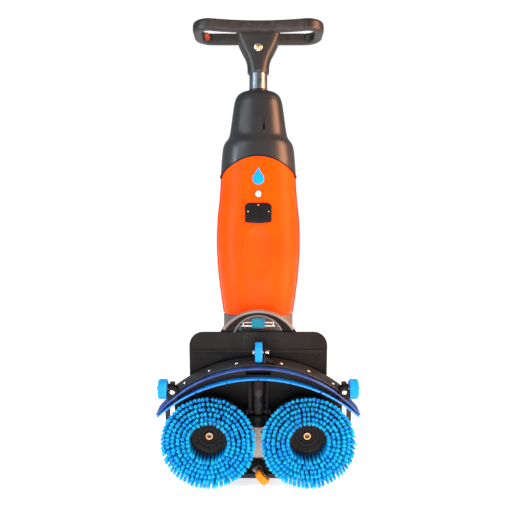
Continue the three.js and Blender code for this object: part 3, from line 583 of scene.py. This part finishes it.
def pressed(name, outline, proud, finish, bevel, crown=0.0, depth=4, **options):
    """An outline in X and Z laid on the front tank, `proud` of its skin; `crown` swells its middle."""
    n = len(outline)
    cx = sum(p[0] for p in outline) / n
    cz = sum(p[1] for p in outline) / n
    points, faces = [], []
    steps = 6
    for k in range(steps):
        share = 1 - k / steps
        for x, z in outline:
            px, pz = cx + (x - cx) * share, cz + (z - cz) * share
            points.append((px, front_y(px, pz, proud + crown * (1 - share ** 2)), pz))
    points.append((cx, front_y(cx, cz, proud + crown), cz))
    points += [(x, front_y(x, z, proud) + proud + depth, z) for x, z in outline]
    for k in range(steps - 1):
        for i in range(n):
            j = (i + 1) % n
            faces.append((k * n + i, k * n + j, (k + 1) * n + j, (k + 1) * n + i))
    tip, rear = steps * n, steps * n + 1
    for i in range(n):
        j = (i + 1) % n
        faces.append(((steps - 1) * n + i, (steps - 1) * n + j, tip))
        faces.append((i, j, rear + j, rear + i))
    faces.append(tuple(range(rear, rear + n)))
    return make(name, points, faces, finish, "column", bevel=bevel, segments=3, **options)


PLATE_EDGE = [(206 * math.cos(a), 860 + 206 * math.sin(a)) for a in [-1.735 + 0.0205 * i for i in range(17)]]
PLATE_EDGE += [(34.5, 696), (33.4, 700), (27, 705.2), (24, 706), (-24, 706), (-27, 705.2), (-33.4, 700), (-34.5, 696)]
pressed("name_plate_body", PLATE_EDGE, 6, "hub", 1.4, 0.8, 6, replaces=("name_plate",), slot="gloss_black")
DROP_EDGE = arc(0, 768, 15, 2.75, 6.67, 40) + [(6, 786), (2.2, 793.5), (0, 797), (-2.2, 793.5), (-6, 786)]
pressed("drop_emblem", DROP_EDGE, 1.2, "blue", 0.5, 0.8, replaces=("drop_mark",), slot="blue_plastic")
pressed("level_lens", arc(0, 729, 8.3, 0, 2 * math.pi, 40)[1:], 1.0, "white", 0.5, 1.4,
        replaces=("level_window",), slot="white_plastic")
turned("level_bezel", [(8.2, -2), (9.6, -2), (9.6, 1.2), (9, 1.6), (8.2, 1.2)], "black", "column",
       centre=(0, front_y(0, 729) - 0.4, 729), axis="Y", hollow=True, slot="black_plastic")


def pan_screw(name, radius, centre, finish, body, up=None, height=1.4):
    """A domed cross-slot screw; `up` is the direction its head faces, and by default it faces the operator."""
    head = [(0.01, height), (radius * 0.45, height * 0.95), (radius * 0.8, height * 0.7), (radius, height * 0.2),
            (radius, -height), (0.01, -height)]
    screw = turned(name, head, finish, None, sides=24)
    cross = [make("cross", *block(0, 0, height * 1.1, *d, height * 1.2), finish, None)
             for d in ((radius * 1.2, radius * 0.28), (radius * 0.28, radius * 1.2))]
    carve(screw, *cross)
    facing = Vector(up or (0, -1, 0)).to_track_quat("Z", "Y").to_matrix().to_4x4()
    screw.data.transform(Matrix.Translation(Vector(centre) * MM if up is None else Vector(centre)) @ facing)
    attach(screw, body)
    return screw


for index, (x, z) in enumerate([(0, 700), (-26, 683.5), (26, 683.5)]):
    pan_screw(f"plate_screw_{index}", 1.9, (x, front_y(x, z, 6.6), z), "brass", "column")


# ---- neck and handle ----------------------------------------------------------------------------------
LOOP = {"z": 1172, "half_width": 161, "half_depth": 56, "corner": 34, "grip_end": 127}


def neck():
    rings = []
    levels = [1064 + 94 / 40 * k for k in range(41)]
    for z in levels:
        t = min(1, (z - 1064) / 94)
        rings.append(section(blended(NECK_PROFILE, z), 29.5 + 14.5 * t, z, power=2 + 3 * t))
    rings += [section(*size, power=5) for size in ((58.8, 44.6, 1164), (57.4, 44.5, 1174), (56, 43.2, 1176))]
    shell = loft("neck_shell_body", rings, "black", "column", replaces=("neck_shell",), slot="black_plastic")
    pocket = turned("pocket", [(11.2, -60), (11.2, -35.5)], "black", None, centre=(0, 0, 1120), axis="Y", sides=40)
    bore = turned("bore", [(24.3, 1050), (24.3, 1070)], "black", None, sides=48)
    carve(shell, pocket, bore)
    soften(shell, 1.6, 3)


neck()
turned("neck_screw_washer", [(6, -39.2), (9.2, -39.2), (10.4, -38.4), (10.4, -35), (6, -35)], "steel", "column",
       centre=(0, 0, 1120), axis="Y", hollow=True, slot="bright_steel", replaces=("neck_screw",))
pan_screw("neck_screw_head", 6.2, (0, -38.6, 1120), "brass", "column", height=2.2)
turned("neck_cuff", [(24.2, 1058.6), (27.4, 1058.6), (28.8, 1060.4), (29.2, 1064), (24.2, 1064)],
       "gloss_black", "column", hollow=True, slot="gloss_black")
turned("post_tube", [(24, 862), (24, 1094), (21, 1094), (21, 862)], "dark_steel", "column", hollow=True, sides=96,
       replaces=("handle_post",), slot="dark_steel")
turned("post_collar", [(24.1, 1010.2), (27.6, 1010.2), (28, 1011.6), (27.4, 1014), (25.8, 1015.4), (24.1, 1015.4)],
       "gloss_black", "column", hollow=True, slot="gloss_black")


def loop_section(x, y, out, wide, tall, count=40, power=3.4):
    n = Vector(out).normalized()
    ring = []
    for i in range(count):
        t = 2 * math.pi * (i + 0.5) / count
        o = wide / 2 * rounded(math.cos(t), power)
        ring.append((x + n.x * o, y + n.y * o, LOOP["z"] + tall / 2 * rounded(math.sin(t), power)))
    return ring


def loop_end(side):
    """The bent end of the handle loop: from one grip round to the other."""
    w, d, r = LOOP["half_width"], LOOP["half_depth"], LOOP["corner"]
    cx = w - r
    path = [(LOOP["grip_end"], -d, (0, -1))]
    for centre_y, start in ((r - d, -90), (d - r, 0)):
        for i in range(13):
            a = math.radians(start + 90 * i / 12)
            path.append((cx + r * math.cos(a), centre_y + r * math.sin(a), (math.cos(a), math.sin(a))))
    path.append((LOOP["grip_end"], d, (0, 1)))
    return [loop_section(side * x, y, (side * n[0], n[1]), 25, 29.5) for x, y, n in path]


def handle():
    for side, name in ((-1, "left"), (1, "right")):
        loft(f"handle_end_{name}", loop_end(side), "black", "column", replaces=("handle_loop",) if side > 0 else (),
             slot="black_plastic", bevel=0.8)
    for side, name in ((-1, "front"), (1, "rear")):
        run = []
        for k in range(61):
            x = -LOOP["grip_end"] + 0.6 + (2 * LOOP["grip_end"] - 1.2) * k / 60
            ridge = 0.3 * math.cos(math.pi * k) if 4 < k < 56 and abs(x) > 62 else 0
            bow = (1 - (x / LOOP["grip_end"]) ** 2) * (1 if side < 0 else 0)
            ring = loop_section(x, side * LOOP["half_depth"] + 7 * bow, (0, side), 25.2 + ridge, 29.7 + ridge)
            run.append([(px, py, pz - 3.5 * bow) for px, py, pz in ring])
        loft(f"{name}_grip_sleeve", run, "rubber", "column", replaces=(f"{name}_grip",), slot="grip_rubber",
             bevel=0.9)
        core = [loop_section(x, side * LOOP["half_depth"], (0, side), 12, 14) for x in (-132, 132)]
        loft(f"{name}_grip_core", core, "black", "column", slot="black_plastic")


handle()


def red_button():
    angle = 2.36
    centre = Vector((-(LOOP["half_width"] - LOOP["corner"]), LOOP["half_depth"] - LOOP["corner"], LOOP["z"])) * MM
    out = Vector((math.cos(angle), math.sin(angle), 0))
    turn = out.to_track_quat("Z", "Y").to_matrix().to_4x4()
    cap = turned("red_button_cap", [(0.01, 30), (9.4, 30), (9.4, 17.6), (8.6, 16.4), (5, 15.4), (0.01, 15)], "red",
                 None, sides=48)
    ring = turned("red_button_bezel", [(9.8, 28), (12.2, 28), (12.2, 19.2), (11.4, 18.2), (9.8, 18.2)], "black", None,
                  hollow=True, sides=48)
    for obj in (cap, ring):
        obj.data.transform(Matrix.Translation(centre) @ turn)
    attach(cap, "red_button")
    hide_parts("red_button")
    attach(ring, "column")


red_button()


# ---- deck: brushes ------------------------------------------------------------------------------------
BRUSH = {"x": 122, "s": -188, "seat": 44.6}
TUFT_RINGS = [(50, 50.8), (60, 62.6), (70.5, 74.8), (81, 87.2), (91.5, 99.8), (99.5, 112.3)]
FILAMENTS = 14
SIDES = 5


def filament(points, faces, foot, tip, thick):
    """One bristle from foot to tip, bending outwards on its way; each end is (x, h, s)."""
    start = len(points)
    a, b = Vector(foot), Vector(tip)
    for share, out, width in ((0, 0, 1), (0.5, 0.36, 0.98), (0.93, 0.9, 0.95), (1, 1, 0.55)):
        centre = Vector((a.x + (b.x - a.x) * out, a.y + (b.y - a.y) * share, a.z + (b.z - a.z) * out))
        for k in range(SIDES):
            t = 2 * math.pi * k / SIDES
            points.append((centre.x + thick * width * math.cos(t), centre.y - PIVOT_H,
                           centre.z + thick * width * math.sin(t)))
    for ring in range(3):
        low, high_ring = start + ring * SIDES, start + (ring + 1) * SIDES
        for k in range(SIDES):
            n = (k + 1) % SIDES
            faces.append((low + k, low + n, high_ring + n, high_ring + k))
    faces.append(tuple(start + 3 * SIDES + k for k in range(SIDES)))


def bristles(side, name):
    rng = random.Random(5 + side)
    points, faces, tints, root_shade_values = [], [], [], []
    for foot_r, tip_r in TUFT_RINGS:
        count = round(2 * math.pi * tip_r / 10.4)
        phase = rng.random()
        for k in range(count):
            angle = 2 * math.pi * (k + phase) / count + rng.uniform(-0.012, 0.012)
            tint, lean_out, lean_along = rng.random(), rng.gauss(0, 0.7), rng.gauss(0, 0.9)
            level = rng.uniform(0.2, 2.2)
            c, s = math.cos(angle), math.sin(angle)
            for f in range(FILAMENTS):
                q, phi = math.sqrt((f + 0.5) / FILAMENTS), f * 2.39996
                u, v = q * math.cos(phi), q * math.sin(phi)
                ends = []
                for r, spread, h, w in ((foot_r, 2.6, BRUSH["seat"], 0),
                                        (tip_r, 4.3, level + q * rng.uniform(0, 1.6), 1)):
                    out, along = r + u * spread + w * lean_out, v * spread + w * lean_along
                    ends.append((side * BRUSH["x"] + out * c - along * s, h, BRUSH["s"] + out * s + along * c))
                filament(points, faces, *ends, rng.uniform(0.95, 1.2))
                own = min(1, max(0, tint + rng.gauss(0, 0.12)))
                tints += [own] * (4 * SIDES)
                # From foot to tip: how much painted shade each ring of the filament gets.
                root_shade_values += [1.0] * SIDES + [0.6] * SIDES + [0.05] * SIDES + [0.0] * SIDES
    obj = make(f"bristle_tufts_{name}", points, faces, "bristle", f"brush_{name}", place=DECK, smooth=60,
               replaces=(f"bristles_{name}",), slot="blue_bristle")
    for key, values in (("tint", tints), ("root_shade", root_shade_values)):
        layer = obj.data.attributes.new(key, "FLOAT", "POINT")
        layer.data.foreach_set("value", values)


def brush_plate(side, name):
    centre = (side * BRUSH["x"], -PIVOT_H, BRUSH["s"])
    profile = [(8.3, 51.5), (12, 51.5), (13, 52.6), (21, 52.6), (22, 51), (30, 50), (31, 48.8), (39, 48), (44, 46.5),
               (46, 44.4), (57, 44.3), (103, 44.3), (104.4, 46), (104.4, 55), (102, 56.4), (50, 58), (44, 60.5),
               (27, 62), (26, 74), (8.3, 74)]
    turned(f"brush_plate_{name}", profile, "hub", f"brush_{name}", centre=centre, axis="Y", place=DECK, sides=96,
           hollow=True, bevel=0.5, replaces=(f"brush_disc_{name}",), slot="grip_rubber")
    turned(f"hub_ring_{name}", [(6.4, 46), (8.6, 46), (9.3, 46.8), (9.3, 52.4), (6.4, 52.4)], "brass",
           f"brush_{name}", centre=centre, axis="Y", place=DECK, sides=6 * 8, hollow=True, slot="bright_steel")
    for k in range(6):
        a = math.radians(60 * k + 30)
        place = deck_point(side * BRUSH["x"] + 36 * math.cos(a), 48.4, BRUSH["s"] + 36 * math.sin(a))
        pan_screw(f"hub_screw_{name}_{k}", 2.1, place, "hub", f"brush_{name}", up=UNDER)


UNDER = DECK.to_3x3() @ Vector((0, -1, 0))
for side, name in ((-1, "left"), (1, "right")):
    bristles(side, name)
    brush_plate(side, name)


# ---- deck: squeegee -----------------------------------------------------------------------------------
REAR = {"r": 320, "s": -320, "half": 0.872}
FRONT = {"r": 362, "s": -388, "half": 0.735}
ROLLER_R = 24


def blade(name, arc_of, top, finish, notches, replaces):
    """A curved rubber strip on edge; it has short notches in its working edge at the X given."""
    steps = 240
    rings = []
    for i in range(steps + 1):
        t = math.pi / 2 - arc_of["half"] + 2 * arc_of["half"] * i / steps
        x = arc_of["r"] * math.cos(t)
        low = 5.5 if any(abs(x - n) < 1.6 for n in notches) else 0.4
        ring = []
        for out, h in ((-2, low + 0.8), (-1.2, low), (1.2, low), (2, low + 0.8), (2, top), (-2, top)):
            r = arc_of["r"] + out + 0.25 * math.sin(13 * t) * (h < 10)
            ring.append((r * math.cos(t), h - PIVOT_H, arc_of["s"] + r * math.sin(t)))
        rings.append(ring)
    loft(name, rings, finish, "squeegee", place=DECK, replaces=replaces, slot="blue_blade", smooth=45)


blade("rear_wiper", REAR, 56, "rear_blade", (), ("rear_blade",))
blade("front_wiper", FRONT, 47, "front_blade", (-150, -75, 0, 77, 150), ("front_blade",))


def clamp():
    low = REAR["r"] + 3
    section_points = [(0, 14), (3, 13.2), (4.2, 14.6), (9.2, 51), (9.4, 57), (8, 58.6), (0, 58.6)]
    rings = []
    for i in range(81):
        t = math.pi / 2 - 0.715 + 1.43 * i / 80
        rings.append([((low + o) * math.cos(t), h - PIVOT_H, REAR["s"] + (low + o) * math.sin(t))
                      for o, h in section_points])
    loft("clamp_band", rings, "gloss_black", "squeegee", place=DECK, bevel=0.5, replaces=("clamp_strip",),
         slot="gloss_black")
    for k, x in enumerate((-180, -119, -53, 55.5, 122, 182)):
        t = math.acos(x / (low + 7))
        out = DECK.to_3x3() @ Vector((math.cos(t), -0.13, math.sin(t)))
        place = deck_point((low + 6.4) * math.cos(t), 31, REAR["s"] + (low + 6.4) * math.sin(t))
        pan_screw(f"clamp_screw_{k}", 4.6, place, "steel", "squeegee", up=out, height=2.4)


clamp()


def moulding_ribs():
    points, faces = [], []
    for x in [-52, -46, -40, -34, -28, 30, 36, 42, 48, 54, -120, -114, -108, 110, 116, 122]:
        t = math.acos(x / 355)
        s = FRONT["s"] + 354 * math.sin(t) - 3
        p, f = block(x, 45 - PIVOT_H, s, 1.6, 18, 7)
        faces += [tuple(i + len(points) for i in face) for face in f]
        points += p
    make("moulding_ribs", points, faces, "deck_black", "squeegee", place=DECK, bevel=0.4, slot="black_plastic")


moulding_ribs()


def roller(name, width, x, s, body, replaces):
    """A small wheel with an axial tread and a recessed face."""
    half = width / 2
    count = 120
    profile = [(4.4, -half - 1), (8.6, -half - 1), (9.2, -half), (11, 1.6 - half), (18, 1.6 - half), (19.4, -half),
               (22.4, -half), (ROLLER_R, 1.6 - half), (ROLLER_R, half - 1.6), (22.4, half), (19.4, half),
               (18, half - 1.6), (11, half - 1.6), (9.2, half), (8.6, half + 1), (4.4, half + 1)]
    rings = []
    for radius, along in profile:
        ring = []
        for i in range(count):
            t = 2 * math.pi * i / count
            r = radius - (0.7 if radius == ROLLER_R and i % 4 == 0 else 0)
            ring.append((x + along, 24 - PIVOT_H + r * math.cos(t), s + r * math.sin(t)))
        rings.append(ring)
    loft(name, rings, "blue", body, endless=True, place=DECK, replaces=replaces, slot="blue_plastic", smooth=30)


roller("centre_wheel", 17, 1, 35, "centre_roller", ("centre_roller",))
roller("side_wheel_left", 21, -231, -57, "roller_left", ("roller_left",))
roller("side_wheel_right", 21, 231, -57, "roller_right", ("roller_right",))
for side, name in ((-1, "left"), (1, "right")):
    ear = arc(side * 206, -57, 11.5, 0, math.pi, 14) + [(side * 206 - 11.5, -76), (side * 206 - 8, -82),
                                                       (side * 206 + 8, -82), (side * 206 + 11.5, -76)]
    prism(f"lug_ear_{name}", ear, 3, 11, "deck_black", "squeegee", bevel=1.6, segments=3, slot="black_plastic")
    pan_screw(f"lug_screw_{name}", 5.6, deck_point(side * 206, 2.4, -58), "steel", "squeegee",
              up=UNDER, height=1.8)


def hose():
    rings = []
    for k in range(139):
        s = -131 + k * 0.5
        r = 11.6 + 0.75 * math.cos(2 * math.pi * k / 9) if s < -85 else 13.2 + (0.8 if -74 < s < -70 else 0)
        rings.append([(r * math.cos(2 * math.pi * i / 48), 60 - PIVOT_H + r * math.sin(2 * math.pi * i / 48), s)
                      for i in range(48)])
    body = loft("hose_corrugated", rings, "rubber", None, place=DECK, replaces=("suction_hose",), slot="grip_rubber",
                smooth=50)
    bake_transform(body)


hose()


# ---- deck: arch, bumper and small fittings ------------------------------------------------------------
def along_arc(name, r, s, reach, profile, finish, body, steps=72, **options):
    """A [radial offset, height] profile drawn along an arc about (0, s)."""
    rings = []
    for i in range(steps + 1):
        t = math.pi / 2 - reach + 2 * reach * i / steps
        rings.append([((r + o) * math.cos(t), h - PIVOT_H, s + (r + o) * math.sin(t)) for o, h in profile])
    return loft(name, rings, finish, body, place=DECK, **options)


def ellipse(cx, cy, a, b, count=20):
    angles = [2 * math.pi * i / count for i in range(count)]
    return [(cx + a * math.cos(t), cy + b * math.sin(t)) for t in angles]


# Both trims are black plastic; their grey colour is painted highlight.
along_arc("arch_trim", 104.5, 17, 0.97, ellipse(0, 84.6, 4.6, 6), "painted_rim_highlight", "deck", smooth=60, slot="black_plastic")
along_arc("window_trim", 62.6, 46.4, 1.15, ellipse(1.5, 84.6, 1.6, 2), "painted_rim_highlight", "deck", smooth=60, slot="black_plastic")


def bumper():
    low, top, thick, corner, half = 76, 180, 12, 70, 226
    cos, tan = math.cos(LEAN), math.tan(LEAN)
    front = 9 - (324 + (low - PIVOT_H) * math.sin(LEAN)) / cos
    cx, cs = half - corner, front + corner
    right = [(half, -132.0), (half, -150.0)] + arc(cx, cs, corner, 0, -math.pi / 2, 24)
    path = right + [(-x, s) for x, s in reversed(right)]
    rings = []
    for x, s in path:
        out = Vector((math.copysign(max(0, abs(x) - cx), x), min(0, s - cs))).normalized()
        ring = []
        for edge, h in ((0, low), (0, low + 26), (-1.6, low + 29), (-1.6, low + 44), (0, low + 47), (0, top - 3),
                        (-3, top), (3 - thick, top), (-thick, top - 3), (-thick, low)):
            offset = 9 + (h - low) * tan + edge
            ring.append((x + out.x * offset, h - PIVOT_H, s + out.y * offset))
        rings.append(ring)
    loft("bumper_band", rings, "rubber", "deck", place=DECK, bevel=0.8, replaces=("front_bumper",),
         slot="grip_rubber")


bumper()


def caster():
    place = DECK @ Matrix.Translation((0, 0, -0.272)) @ Matrix.Rotation(math.radians(-45), 4, "Y")
    r = 19
    profile = [(2.9, -6.4), (6, -7.4), (12, -7.4), (r - 4.5, -8.4), (r - 2, -7.8), (r - 0.4, -5.2), (r, -2),
               (r, 2), (r - 0.4, 5.2), (r - 2, 7.8), (r - 4.5, 8.4), (12, 7.4), (6, 7.4), (2.9, 6.4)]
    turned("caster_tyre", profile, "amber", "caster_wheel", centre=(0, 18 - PIVOT_H, -14), axis="X", place=place,
           hollow=True, sides=72, smooth=40, replaces=("caster_wheel",), slot="amber_wheel")


caster()
FITTINGS = [("strip_screw_0", -10, 64.6, -185, 2.6, "hub", "dark_steel"),
            ("strip_screw_1", 9, 64.6, -185, 2.6, "hub", "dark_steel"),
            ("plate_bolt_0", -41, 76.8, 49, 3, "hub", "dark_steel"),
            ("plate_bolt_1", 42, 76.8, 49, 3, "hub", "dark_steel"),
            ("plate_bolt_2", -146, 76.8, 5, 3, "hub", "dark_steel"),
            ("plate_bolt_3", 147, 76.8, 5, 3, "hub", "dark_steel"),
            ("arch_screw", -60, 83.2, 68, 3, "steel", "bright_steel"),
            ("edge_screw_0", -163, 76.8, -103, 2.6, "steel", "bright_steel"),
            ("edge_screw_1", -152, 76.8, -96, 2.2, "steel", "bright_steel"),
            ("edge_screw_2", -198, 76.8, -128, 2.8, "steel", "bright_steel"),
            ("edge_screw_3", 198, 76.8, -128, 2.8, "steel", "bright_steel"),
            ("socket_screw", -17, 59.5, -137, 2.2, "white", "white_plastic"),
            ("drain_plug", 58, 73, -150, 4, "red", "red_plastic")]
for name, x, h, s, radius, finish_name, slot_name in FITTINGS:
    pan_screw(name, radius, deck_point(x, h, s), finish_name, "deck", up=UNDER, height=1.6)


# ---- the nodes that keep their own mesh ---------------------------------------------------------------
KEPT = {"black": ("column_frame", "recovery_cap", "solution_cap", "battery_left", "battery_right"),
        "deck_black": ("deck_plate", "arch_plate", "hose_socket", "caster_mount", "squeegee_body", "centre_fin",
                       "lug_left", "lug_right", "solution_pump"),
        "gloss_black": ("console_panel", "deck_cover"),
        "dark_steel": ("suction_motor", "upper_yoke", "lower_yoke", "motor_left", "motor_right", "caster_fork"),
        "steel": ("joint_cross", "latch_bail", "centre_axle", "axle_left", "axle_right"),
        "teal": ("latch_shelf",), "cyan": ("latch_block",), "cream": ("chassis_strip",), "grey": ("column_base",),
        "glass": ("display_lens",), "white": ("mode_button",), "blue": ("power_button",)}
BEVELS = {"deck_plate": 1.6, "arch_plate": 1.2, "deck_cover": 3, "column_base": 2, "battery_left": 2.5,
          "battery_right": 2.5, "motor_left": 2, "motor_right": 2, "latch_bail": 0.3, "display_lens": 0.5,
          "latch_block": 1.4, "console_panel": 1.2, "recovery_cap": 2, "solution_cap": 2, "suction_motor": 2}
for finish_name, names in KEPT.items():
    for node_name in names:
        node = NODES[node_name]
        node.data.materials.clear()
        node.data.materials.append(MATERIALS[finish_name])
        shade(node, 32)
        soften(node, BEVELS.get(node_name, 0.8), 3, 40)
